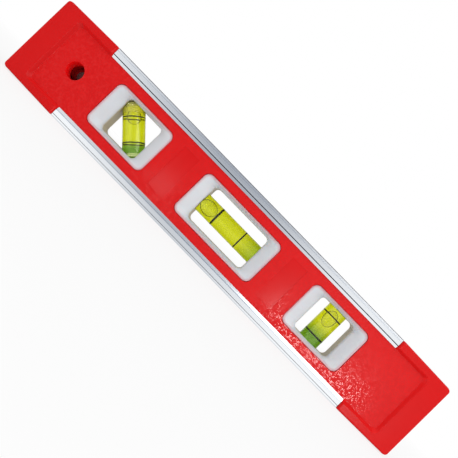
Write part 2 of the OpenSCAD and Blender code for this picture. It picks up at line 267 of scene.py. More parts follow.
@dataclass(frozen=True)
class MouldedPlastic:
    """Injection-moulded plastic, smooth or with a moulded grain, that may carry painted glow, shade and
    sparkle.
    """

    name: str
    colour: Colour
    roughness: float = 0.38
    shine: float = 0.28
    grain_depth: float = 0.0
    glow: float = 0.0
    # painted red glow: pink laid on near the outer edge, for red light from the shell
    blush: Colour | None = None
    # painted shade: olive laid on deep in the window, with the vial's yellow light painted in
    shade: Colour | None = None
    flow_scale: float = 55.0
    wave_scale: float = 420.0
    wave_depth: float = 0.004 * MM
    fine_scale: float = 4200.0
    grain_scale: float = 1600.0
    spots: tuple[float, float] = (0.50, 0.58)
    worn: float = 0.11
    # how much paler the spots are: a grain tone, and a painted sparkle where they catch the lamp
    spot_share: float = 1.08
    spot_lift: float = 0.006

    def material(self) -> Material:
        """Builds the material.

        Returns:
            The material.
        """
        g = Graph(self.name)
        normal = g.bump(g.noise(self.wave_scale), self.wave_depth, 0.5)
        colour = g.mottled(g.noise(self.flow_scale, 3.0), self.colour, 0.97, 1.03)
        # Painted light and shade by attribute: a pink glow of the red shell near the outer edge, and olive
        # shade deep in the window.
        for name, other in ((EDGE_NEAR, self.blush), (INSIDE, self.shade)):
            if other is not None:
                near = g.add("ShaderNodeAttribute", {"attribute_name": name}).outputs["Fac"]
                colour = g.over(near, colour, other)
        if self.grain_depth:
            pits = g.add(
                "ShaderNodeTexVoronoi", {"feature": "SMOOTH_F1"}, Vector=g.place, Scale=self.grain_scale,
                Smoothness=0.6,
            )
            normal = g.bump(pits.outputs["Distance"], self.grain_depth * 0.3, 1.0, normal)
            normal = g.bump(g.noise(self.grain_scale, 1.0), self.grain_depth, 1.0, normal)
            spots = g.noise(self.grain_scale, 1.0, 0.4)
            rough = g.between(spots, self.roughness, self.worn, *self.spots)
            # The low-roughness spots are also paler: a grain tone, and a painted sparkle that keeps the
            # lamp's glints.
            grain_tone_and_sparkle = tuple(part + self.spot_lift for part in tint(self.colour, self.spot_share))
            colour = g.over(g.between(spots, 0.0, 1.0, *self.spots), colour, grain_tone_and_sparkle)
        else:
            rough = g.between(g.noise(self.fine_scale), self.roughness - 0.03, self.roughness + 0.04)
        g.surface(Base_Color=colour, Roughness=rough, IOR=1.5, Specular_IOR_Level=self.shine, Normal=normal)
        if self.glow:
            g.surface(
                Subsurface_Weight=self.glow, Subsurface_Radius=(1.0, 0.8, 0.7), Subsurface_Scale=1.8 * MM
            )
        return g.owner


@dataclass(frozen=True)
class ExtrudedAluminium:
    """Bright aluminium as it leaves the die, with fine lines along its length."""

    name: str = "rail_aluminium"
    colour: Colour = srgb(232, 236, 242)
    roughness: float = 0.14
    drawn_scale: Sequence[float] = (5.0, 2300.0, 2300.0)
    broad_scale: Sequence[float] = (9.0, 400.0, 400.0)
    drawn_depth: float = 0.0003 * MM

    def material(self) -> Material:
        """Builds the material.

        Returns:
            The material.
        """
        g = Graph(self.name)
        drawn = g.noise(self.drawn_scale, 3.0, 0.6)
        g.surface(
            Base_Color=g.mottled(g.noise(self.broad_scale), self.colour, 0.96, 1.02),
            Metallic=1.0,
            Roughness=g.between(drawn, self.roughness - 0.03, self.roughness + 0.05),
            Normal=g.bump(drawn, self.drawn_depth, 0.5),
        )
        return g.owner


@dataclass(frozen=True)
class SpeckledMatt:
    """A matt, finely speckled surface, such as sintered ferrite or paint in a groove.

    Its specks are noise by scale, detail and roughness, and contrast gives the shares of the colour
    that they run between and the part of the noise that they come from.
    """

    name: str
    colour: Colour
    specks: tuple[float, float, float]
    contrast: tuple[float, float, float, float]
    patch_scale: float
    roughness: tuple[float, float]
    relief: float
    strength: float

    def material(self) -> Material:
        """Builds the material.

        Returns:
            The material.
        """
        g = Graph(self.name)
        specks = g.noise(*self.specks)
        low, high, start, end = self.contrast
        share = g.between(specks, 0.0, 1.0, start, end)
        g.surface(
            Base_Color=g.over(share, tint(self.colour, low), tint(self.colour, high)),
            Roughness=g.between(g.noise(self.patch_scale), *self.roughness),
            Normal=g.bump(specks, self.relief, self.strength),
        )
        return g.owner


@dataclass(frozen=True)
class ClearMoulding:
    """Clear plastic or liquid that light goes through.

    Its colour may turn into far_colour, between the share far_from of reach and the whole of it, along
    a line from centre that leans from X; for the liquid this is painted shade, greener and darker.
    """

    name: str
    colour: Colour
    ior: float
    far_colour: Colour | None = None
    lean: float = 0.0
    centre: tuple[float, float, float] = (0.0, 0.0, 0.0)
    reach: float = 10.0 * MM
    far_from: float = 0.2
    # a painted dark rim where the surface turns away from the eye
    rim: Colour | None = None
    rim_facing: tuple[float, float] = (0.33, 0.48)
    rippled: float = 0.0
    ripple_scale: float = 1100.0
    cloud_scale: float = 260.0
    clarity: float = 1.0

    def material(self) -> Material:
        """Builds the material.

        Returns:
            The material.
        """
        g = Graph(self.name)
        cloud = g.noise(self.cloud_scale)
        colour = g.mottled(cloud, self.colour, 0.985, 1.01)
        # Painted shade: the colour turns greener and darker along the vial.
        if self.far_colour is not None:
            along = g.add(
                "ShaderNodeMapping", {"vector_type": "TEXTURE"}, Vector=g.place, Location=self.centre,
                Rotation=(0, -self.lean, 0),
            )
            along_x = g.add("ShaderNodeSeparateXYZ", None, Vector=along.outputs["Vector"]).outputs["X"]
            share = g.between(along_x, 0.0, 1.0, self.reach * self.far_from, self.reach)
            colour = g.over(share, colour, self.far_colour)
        # Painted shade: a dark rim where the surface turns away from the eye.
        if self.rim is not None:
            facing = g.add("ShaderNodeLayerWeight", None, Blend=0.35).outputs["Facing"]
            colour = g.over(g.between(facing, 0.0, 1.0, *self.rim_facing), colour, self.rim)
            g.surface(Coat_Weight=1.0, Coat_Roughness=0.04)
        if self.rippled:
            g.surface(Normal=g.bump(g.noise(self.ripple_scale), self.rippled))
        rough = g.between(cloud, 0.0, 0.012)
        g.surface(Base_Color=colour, Roughness=rough, IOR=self.ior, Transmission_Weight=self.clarity)
        return g.owner


FERRITE = SpeckledMatt(
    "magnet_ferrite", srgb(62, 62, 66), (2400.0, 4.0, 0.7), (0.7, 1.5, 0.3, 0.7), 300.0,
    (0.55, 0.75), 0.03 * MM, 0.5,
)
LINE_PAINT = SpeckledMatt(
    "line_black", srgb(22, 22, 20), (3000.0, 2.0, 0.5), (0.7, 1.4, 0.0, 1.0), 3000.0,
    (0.4, 0.6), 0.01 * MM, 0.4,
)


@cache
def box(node: str) -> tuple[Vector, Vector]:
    """The low and high corners of a CAD node at rest."""
    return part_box(node)


def stand(name: str, data: ID) -> Object:
    """Adds an object to the scene, at the origin."""
    made = bpy.data.objects.new(name, data)
    bpy.context.scene.collection.objects.link(made)
    return made


# Bench work on meshes


@dataclass
class Bench:
    """One mesh while it is being made."""

    bm: BMesh = field(default_factory=bmesh.new)

    @classmethod
    def from_node(cls, node: str) -> "Bench":
        """Starts from a merged copy of a CAD node.

        Args:
            node: The node's name.

        Returns:
            The bench, with flat faces joined.
        """
        bench = cls()
        bench.bm.from_mesh(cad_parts[node].data)
        bmesh.ops.remove_doubles(bench.bm, verts=bench.bm.verts[:], dist=MERGE)
        bmesh.ops.dissolve_limit(
            bench.bm, angle_limit=math.radians(0.5), verts=bench.bm.verts[:], edges=bench.bm.edges[:]
        )
        return bench

    def ring(self, width: float, height: float, radius: float, y: float) -> list[BMEdge]:
        """Draws a rounded rectangle that looks along Y.

        Args:
            width: Its size along X.
            height: Its size along Z.
            radius: Its corner radius.
            y: Its depth.

        Returns:
            The edges of its outline.
        """
        made = bmesh.ops.create_grid(self.bm, x_segments=1, y_segments=1, size=0.5)
        corners = made["verts"]
        bmesh.ops.scale(self.bm, vec=(width, height, 1.0), verts=corners)
        upright = Matrix.Rotation(math.radians(90), 3, "X")
        bmesh.ops.rotate(self.bm, cent=(0, 0, 0), matrix=upright, verts=corners)
        bmesh.ops.translate(self.bm, vec=(0, y, 0), verts=corners)
        cut = bmesh.ops.bevel(
            self.bm, geom=corners, offset=radius, offset_type="OFFSET", segments=CORNER_STEPS, profile=0.5,
            affect="VERTICES", material=-1,
        )
        face = next(f for f in cut["verts"][0].link_faces)
        edges = list(face.edges)
        bmesh.ops.delete(self.bm, geom=[face], context="FACES_ONLY")
        return edges

    def loft(self, rings: Sequence[list[BMEdge]]) -> None:
        """Joins outlines of the same number of corners into a skin, the last one to the first."""
        for first, second in zip(rings, [*rings[1:], rings[0]]):
            bmesh.ops.bridge_loops(self.bm, edges=[*first, *second])
        self.weld()

    def lathe(self, profile: Sequence[tuple[float, float]], steps: int = ROUND_STEPS) -> None:
        """Turns an outline about X.

        Args:
            profile: Pairs of place along X and radius, from axis to axis or closed on itself.
            steps: Facets in a full turn.
        """
        points = [self.bm.verts.new((x, 0.0, r)) for x, r in profile]
        on_axis = profile[0][1] == 0.0 and profile[-1][1] == 0.0
        ends = points[1:] if on_axis else [*points[1:], points[0]]
        edges = [self.bm.edges.new(pair) for pair in zip(points, ends)]
        bmesh.ops.spin(
            self.bm, geom=[*points, *edges], cent=(0, 0, 0), axis=(1, 0, 0), dvec=(0, 0, 0),
            angle=math.tau, steps=steps, use_merge=True,
        )
        self.weld()

    def soften(self, edges: Iterable[BMEdge], radius: float, segments: int) -> None:
        """Rounds edges to a radius, with a number of segments across the rounding."""
        bmesh.ops.bevel(
            self.bm, geom=list(edges), offset=radius, offset_type="OFFSET", segments=segments, profile=0.5,
            affect="EDGES", material=-1, clamp_overlap=True, loop_slide=True,
        )

    def sharp_edges(self, angle: float, test: Callable[[BMEdge], bool]) -> list[BMEdge]:
        """Finds the edges that turn more than an angle in degrees and meet a test."""
        return [
            e for e in self.bm.edges
            if len(e.link_faces) == 2 and e.calc_face_angle(0.0) > math.radians(angle) and test(e)
        ]

    def place(self, matrix: Matrix) -> None:
        """Moves the whole mesh to where the matrix puts it."""
        bmesh.ops.transform(self.bm, matrix=matrix, verts=self.bm.verts[:])

    def weld(self) -> None:
        """Joins the points that meet, and turns every face outwards."""
        bmesh.ops.remove_doubles(self.bm, verts=self.bm.verts[:], dist=WELD)
        bmesh.ops.recalc_face_normals(self.bm, faces=self.bm.faces[:])

    def object(self, name: str) -> Object:
        """Makes the mesh an object at the origin.

        Args:
            name: What it is called.

        Returns:
            The object.
        """
        mesh = bpy.data.meshes.new(name)
        self.bm.to_mesh(mesh)
        self.bm.free()
        return stand(name, mesh)

    def piece(
        self, name: str, node: str, slot: str, finishes: Sequence[Material],
        body: str = BODY, crease: float = 32.0, even: bool = True,
    ) -> Object:
        """Makes the mesh a finished piece that stands for a CAD node.

        Args:
            name: What it is called.
            node: The CAD node that it stands for.
            slot: The record's material slot, which is not used.
            finishes: Its materials, in the order of its faces' numbers.
            body: The body that it rides on.
            crease: Edges that turn more than this many degrees stay crisp.
            even: Whether flat faces keep their own shading beside roundings.

        Returns:
            The object.
        """
        for face in self.bm.faces:
            face.smooth = True
        for edge in self.bm.edges:
            edge.smooth = len(edge.link_faces) == 2 and edge.calc_face_angle(0.0) < math.radians(crease)
        piece = self.object(name)
        for finish in finishes:
            piece.data.materials.append(finish)
        if even:
            weighted = piece.modifiers.new("even_shading", "WEIGHTED_NORMAL")
            weighted.keep_sharp = True
            weighted.weight = 80
        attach(piece, body)
        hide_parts(node)
        log.info("%s: %d faces", name, len(piece.data.polygons))
        return piece


def midpoint(edge: BMEdge) -> Vector:
    """The middle of an edge."""
    return (edge.verts[0].co + edge.verts[1].co) / 2


def subtract(piece: Object, cutter: Object) -> BMesh:
    """Cuts one solid out of another.

    Args:
        piece: The solid to cut, which is removed.
        cutter: The solid to cut with, which is removed.

    Returns:
        The mesh that is left.
    """
    cut = piece.modifiers.new("cut", "BOOLEAN")
    cut.operation = "DIFFERENCE"
    cut.solver = "EXACT"
    cut.object = cutter
    depsgraph = bpy.context.evaluated_depsgraph_get()
    result = bmesh.new()
    result.from_mesh(piece.evaluated_get(depsgraph).to_mesh())
    for done in (piece, cutter):
        bpy.data.objects.remove(done)
    return result


# The level's sub-assemblies


class Skin(IntEnum):
    """The finishes of a shell, in the order of its materials; some are lighter or darker copies of the red,
    as painted light and shade.
    """

    SMOOTH = 0
    GRAINED = 1
    # painted light: the front of the hang hole's bore, lighter
    INSIDE = 2
    PAD = 3
    # painted light: the border's inner wall, lighter
    WALL = 4
    # painted shade: the deep part of the hang hole, darker
    HOLLOW = 5
    # painted light: wall faces turned towards -X, lighter still
    WALL_AWAY = 6
    # painted shade: wall faces turned towards +X, darker
    WALL_TOWARDS = 7


@dataclass
class HalfShell:
    """One of the two red half shells."""

    side: Side
    crease: float = 28.0
    fillet: float = 0.3 * MM
    border_fillet: float = 0.9 * MM
    border_from: float = 9.0 * MM
    border_reach: float = 12.5 * MM
    border_to: float = 27.5 * MM
    border_margin: float = 3.2 * MM
    beside_end: float = 28.0 * MM
    beside_rail: float = 4.0 * MM
    arm_fillet: float = 0.6 * MM
    arm_from: float = 26.0 * MM
    arm_width: float = 5.6 * MM
    wall_from: float = 8.5 * MM
    wall_margin: float = 3.0 * MM
    pad_x: float = 32.65 * MM
    pad_half_w: float = 4.5 * MM
    pad_half_h: float = 11.5 * MM
    hole_from_end: float = 22.4 * MM
    hole_reach: float = 5.0 * MM
    hair: float = 0.02 * MM
    skin_depth: float = 0.1 * MM
    outer_depth: float = 0.3 * MM
    upright_within: float = 0.6 * MM
    level_within: float = 0.01 * MM
    sideways: float = 0.3
    red: Colour = (0.645, 0.0044, 0.0050)
    # the smooth red, paler in green and blue: a painted sheen for the shine taken off the smooth faces
    bare_red: Colour = (0.635, 0.0072, 0.0076)

    @property
    def node(self) -> str:
        """The CAD node that the shell stands for."""
        return f"{self.side.name.lower()}_shell"

    def inset(self, place: Vector) -> tuple[float, float]:
        """How far a point lies from the nearer end, and from the nearer of the top and the sole."""
        low, high = box(self.node)
        return min(place.x - low.x, high.x - place.x), min(place.z - low.z, high.z - place.z)

    def on_pad(self, place: Vector) -> bool:
        """Whether a point lies on one of the smooth pads, seen from the front."""
        across = abs(abs(place.x) - self.pad_x)
        return across < self.pad_half_w and abs(place.z - MID_HEIGHT) < self.pad_half_h

    def in_hole(self, place: Vector) -> bool:
        """Whether a point lies in the hang hole, seen from the front."""
        hole = Vector((box("front_shell")[0].x + self.hole_from_end, MID_HEIGHT))
        return (Vector((place.x, place.z)) - hole).length < self.hole_reach

    def on_skin(self, edge: BMEdge) -> bool:
        """Whether an edge lies on the outer skin, off the pads."""
        deep = min(self.side.value * v.co.y for v in edge.verts)
        return deep > WEB_FACE - self.skin_depth and not self.on_pad(midpoint(edge))

    def at_arm(self, edge: BMEdge) -> bool:
        """Whether an edge closes the outer face of a cap's arm beside a rail.

        Args:
            edge: The edge.

        Returns:
            True on the arm's end.
        """
        inward, margin = zip(*(self.inset(v.co) for v in edge.verts))
        upright = max(inward) - min(inward) < self.upright_within
        outer = all(abs(v.co.y) > CAP_FACE - self.outer_depth for v in edge.verts)
        return self.arm_from < min(inward) and upright and max(margin) < self.arm_width and outer

    def along_wall(self, edge: BMEdge) -> bool:
        """Whether an edge runs along the crest or the foot of the border's inner wall.

        Args:
            edge: The edge.

        Returns:
            True on the wall's crest or foot.
        """
        ends = [v.co for v in edge.verts]
        inward, margin = zip(*map(self.inset, ends))
        if abs(ends[0].y - ends[1].y) >= self.level_within or any(map(self.in_hole, ends)):
            return False
        near_rim = min(inward) < self.border_reach or min(margin) < self.arm_width
        in_zone = self.border_from < min(inward) and max(inward) < self.border_to
        return in_zone and min(margin) > self.border_margin and near_rim

    def on_border(self, edge: BMEdge) -> bool:
        """Whether an edge's middle lies by the border round one end of the panel, clear of the hang hole."""
        inward, margin = self.inset(midpoint(edge))
        return inward < self.beside_end and margin > self.beside_rail and not self.in_hole(midpoint(edge))

    def skin(self, face: BMFace) -> Skin:
        """Picks the finish of a face.

        Args:
            face: The face.

        Returns:
            The finish.
        """
        centre = face.calc_center_median()
        depth, out = self.side.value * centre.y, self.side.value * face.normal.y
        inward, margin = self.inset(centre)
        flat, at_web = abs(out - 1.0) < 0.001, abs(depth - WEB_FACE) < self.hair
        deep = depth < WEB_FACE - self.fillet and self.in_hole(centre)
        on_pad = flat and not at_web and self.on_pad(centre)
        sloping = WEB_FACE + self.hair < depth < CAP_FACE - self.hair and 0.1 < out < 0.97
        wall = sloping and not on_pad and inward > self.wall_from and margin > self.wall_margin
        choices = (
            (flat and at_web, Skin.GRAINED),
            # Painted shade deep in the hang hole, and painted light on the front of its bore.
            (deep and (self.side is Side.REAR or abs(out) > 0.9), Skin.HOLLOW),
            (deep, Skin.INSIDE),
            (on_pad, Skin.PAD),
            # The border wall in lit and shaded copies, by the way it faces the lamps.
            (wall and face.normal.x < -self.sideways, Skin.WALL_AWAY),
            (wall and face.normal.x > self.sideways, Skin.WALL_TOWARDS),
            (wall, Skin.WALL),
        )
        return next((skin for meets, skin in choices if meets), Skin.SMOOTH)

    def finishes(self) -> list[Material]:
        """Makes the shell's materials, in the order of Skin."""
        looks = {
            Skin.SMOOTH: (self.bare_red, 1.0, 0.22, 0.10, 0.0),
            Skin.GRAINED: (self.red, 1.0, 0.46, 0.15, 0.012 * MM),
            # painted light: the hang hole's front bore, 1.45 times lighter
            Skin.INSIDE: (self.red, 1.45, 0.60, 0.06, 0.0),
            Skin.PAD: (self.red, 1.0, 0.15, 0.17, 0.0),
            # painted light: the border wall, 1.12 times lighter
            Skin.WALL: (self.bare_red, 1.12, 0.40, 0.25, 0.0),
            # painted shade: the deep hang hole, 0.4 of the red
            Skin.HOLLOW: (self.red, 0.4, 0.60, 0.10, 0.0),
            # lit and shaded copies of the wall: painted light facing -X, painted shade facing +X
            Skin.WALL_AWAY: (self.bare_red, 1.25, 0.40, 0.25, 0.0),
            Skin.WALL_TOWARDS: (self.bare_red, 0.94, 0.40, 0.25, 0.0),
        }
        return [
            MouldedPlastic(f"{self.node}_{skin.name.lower()}", tint(colour, share), *rest).material()
            for skin, (colour, share, *rest) in looks.items()
        ]

    def build(self) -> Object:
        """Makes the shell with rounded outer edges and a grained panel.

        Returns:
            The piece.
        """
        bench = Bench.from_node(self.node)
        roundings = (
            (self.border_fillet, 6, lambda e: self.on_skin(e) and self.on_border(e) and self.along_wall(e)),
            (self.arm_fillet, 4, self.at_arm),
            (self.fillet, 3, lambda e: self.on_skin(e) and not self.along_wall(e)),
        )
        for radius, segments, test in roundings:
            bench.soften(bench.sharp_edges(self.crease, test), radius, segments)
        for face in bench.bm.faces:
            face.material_index = self.skin(face)
        return bench.piece(f"{self.node}_moulding", self.node, "shell", self.finishes())


@dataclass
class Rails:
    """The two aluminium rails and the magnets in the lower one."""

    edge: float = 0.07 * MM
    outer_edge: float = 0.38 * MM
    magnet_edge: float = 0.35 * MM
    lip: float = 1.4 * MM
    outer_line: float = 3.6 * MM
    groove: float = 0.24 * MM
    leg_face: float = 9.7 * MM
    shortest: float = 5.0 * MM
    back_within: float = 0.05 * MM
    back_crease: float = 25.0
    crease: float = 40.0

    def rail(self, node: str, finishes: Sequence[Material]) -> Object:
        """Makes a rail with slightly rounded arrises and one groove in each leg painted darker, as painted
        shade.

        Args:
            node: The CAD node.
            finishes: The bright metal, and the darker metal that paints shade into the groove.

        Returns:
            The piece.
        """
        bench = Bench.from_node(node)
        low, high = box(node)
        upper = low.z > MID_HEIGHT
        inner, outer = [low.z + d if upper else high.z - d for d in (self.lip, self.outer_line)]
        back = high.z if upper else low.z

        def in_groove(place: Vector, lines: Sequence[float] = (inner, outer)) -> bool:
            """Whether a point lies in one of the fine grooves of a leg."""
            return abs(place.y) > self.leg_face and any(abs(place.z - z) < self.groove for z in lines)

        def at_back(place: Vector) -> bool:
            """Whether a point lies on one of the two long outer corners."""
            return abs(place.z - back) < self.back_within and abs(place.y) > self.leg_face - MM

        roundings = (
            (self.back_crease, self.outer_edge, 4, lambda e: all(at_back(v.co) for v in e.verts)),
            (self.crease, self.edge, 2, lambda e: not any(in_groove(v.co) for v in e.verts)),
        )
        for crease, radius, segments, test in roundings:
            edges = [e for e in bench.sharp_edges(crease, test) if e.calc_length() > self.shortest]
            bench.soften(edges, radius, segments)
        # painted shade: the groove that lies in shade, the inner one on the top rail and the outer one on the
        # bottom rail
        painted_groove_shade = (inner,) if upper else (outer,)
        for face in bench.bm.faces:
            slanted = 0.05 < abs(face.normal.y) < 0.98
            if slanted and all(in_groove(v.co, painted_groove_shade) for v in face.verts):
                face.material_index = 1
        return bench.piece(f"{node}_extrusion", node, "rail", finishes)

    def magnet(self, node: str, finish: Material) -> Object:
        """Makes a bar magnet with worn edges.

        Args:
            node: The CAD node.
            finish: The ferrite.

        Returns:
            The piece.
        """
        low, high = box(node)
        bench = Bench()
        bmesh.ops.create_cube(bench.bm, size=1.0)
        bench.place(Matrix.Translation((low + high) / 2) @ Matrix.Diagonal((*(high - low), 1.0)))
        bench.soften(bench.bm.edges[:], self.magnet_edge, 2)
        return bench.piece(f"{node}_bar", node, "magnet", [finish])

    def build(self) -> None:
        """Makes the rails and the magnets."""
        metal = ExtrudedAluminium().material()
        # darker, rougher metal: painted shade in one groove of each rail
        painted_groove_shade = ExtrudedAluminium("rail_groove", srgb(128, 132, 140), 0.45).material()
        ferrite = FERRITE.material()
        for node in ("top_rail", "bottom_rail"):
            self.rail(node, [metal, painted_groove_shade])
        for node in ("magnet_left", "magnet_middle", "magnet_right"):
            self.magnet(node, ferrite)


@dataclass
class Bezel:
    """One white frame, a funnel that leads down to the window and cradles half of the vial."""

    station: Station
    side: Side
    window_width: float
    window_height: float = 18.3 * MM
    corner: float = 3.0 * MM
    window_corner: float = 2.0 * MM
    face: float = 8.7 * MM
    shoulder: float = 6.7 * MM
    step: float = 0.8 * MM
    rim: float = 5.1 * MM
    lip: float = 0.5 * MM
    roll: float = 1.3 * MM
    roll_from: float = 0.84
    swell: float = 1.3
    corner_swell: float = 2.0 * MM
    edge: float = 0.25 * MM
    gap: float = 0.1 * MM
    apart: float = 0.02 * MM
    seam: float = 0.001 * MM
    # how far in from the outer edge the painted red glow reaches
    blush_reach: float = 1.3 * MM
    steps: int = 8

    @property
    def node(self) -> str:
        """The CAD node that the frame stands for."""
        return f"{self.station.label}_bezel_{self.side.name.lower()}"

    @property
    def opening(self) -> tuple[float, float, float]:
        """Width, height and corner radius of the frame's outer edge in the panel."""
        low, high = box(self.node)
        return (high.x - low.x - 2 * self.step, high.z - low.z - 2 * self.step, self.corner)

    def outline(self) -> list[tuple[float, float, float, float]]:
        """Lists the rings of the frame, from its outer foot round to its inner one.

        Returns:
            Width, height, corner radius and depth of each ring.
        """
        w, h, r = self.opening
        foot = (w + 2 * self.step, h + 2 * self.step, r + self.step)
        rings = [(*foot, 0.0), (*foot, self.shoulder), (w, h, r, self.shoulder + self.apart)]
        for turn in (0, 30, 60, 90):
            out = self.edge * (1 - math.cos(math.radians(turn)))
            up = self.edge * math.sin(math.radians(turn))
            rings.append((w - 2 * out, h - 2 * out, r - out, self.face - self.edge + up))
        start = Vector((w - 2 * self.lip, h - 2 * self.lip, r - self.lip, 0.0))
        window = Vector((self.window_width, self.window_height, self.window_corner, 0.0))
        fall = self.face - self.apart - self.rim

        def slope(share: float) -> Vector:
            """Draws the funnel's ring at a share of its run.

            Args:
                share: The share, from 0 at the outer edge to 1 at the window.

            Returns:
                Width, height, corner radius and depth.
            """
            ring = start.lerp(window, share)
            ring.z += self.corner_swell * 4.0 * share * (1.0 - share)
            ring.w = self.face - self.apart - fall * share ** self.swell
            return ring

        rings += [tuple(slope(self.roll_from * k / self.steps)) for k in range(self.steps)]
        near, corner, below = slope(self.roll_from), slope(1.0), slope(1.0)
        below.w -= self.roll
        for k in range(self.steps + 1):
            t = k / self.steps
            rings.append(tuple(near.lerp(corner, t).lerp(corner.lerp(below, t), t)))
        rings.append((self.window_width, self.window_height, self.window_corner, self.apart))
        return rings

    def mark(self, bench: Bench) -> None:
        """Marks how near each point is to the red shell and how deep it lies in the window, for painted glow
        and shade.

        Args:
            bench: The frame, centred on its window.
        """
        near = bench.bm.verts.layers.float.new(EDGE_NEAR)
        inside = bench.bm.verts.layers.float.new(INSIDE)
        w, h, r = self.opening
        for v in bench.bm.verts:
            past = Vector((abs(v.co.x) - w / 2 + r, abs(v.co.z) - h / 2 + r))
            outer = Vector((max(past.x, 0.0), max(past.y, 0.0))).length + min(max(past), 0.0) - r
            # painted red glow, strongest at the outer edge
            v[near] = min(1.0, max(0.0, 1.0 + outer / self.blush_reach))
            # painted shade, from the rim down into the window
            v[inside] = min(1.0, max(0.0, (self.rim - abs(v.co.y)) / self.roll))

    def build(self, finish: Material) -> Object:
        """Makes the frame.

        Args:
            finish: The white plastic.

        Returns:
            The piece.
        """
        low, high = box(self.node)
        vial_low, vial_high = box(f"{self.station.label}_vial")
        bench = Bench()
        rings = [bench.ring(w, h, r, self.side.value * y) for w, h, r, y in self.outline()]
        bench.loft(rings)
        bar = Bench()
        seat = (vial_high.y - vial_low.y) / 2 + self.gap
        half = self.station.extent("vial") / 2 + self.gap
        bar.lathe([(-half, 0.0), (-half, seat), (half, seat), (half, 0.0)])
        bar.place(self.station.lean)
        cut = subtract(bench.object("frame_blank"), bar.object("seat_bar"))
        done = Bench(cut)
        bmesh.ops.remove_doubles(cut, verts=cut.verts[:], dist=self.seam)
        self.mark(done)
        done.place(Matrix.Translation(((low.x + high.x) / 2, 0.0, MID_HEIGHT)))
        return done.piece(f"{self.node}_frame", self.node, "bezel", [finish])


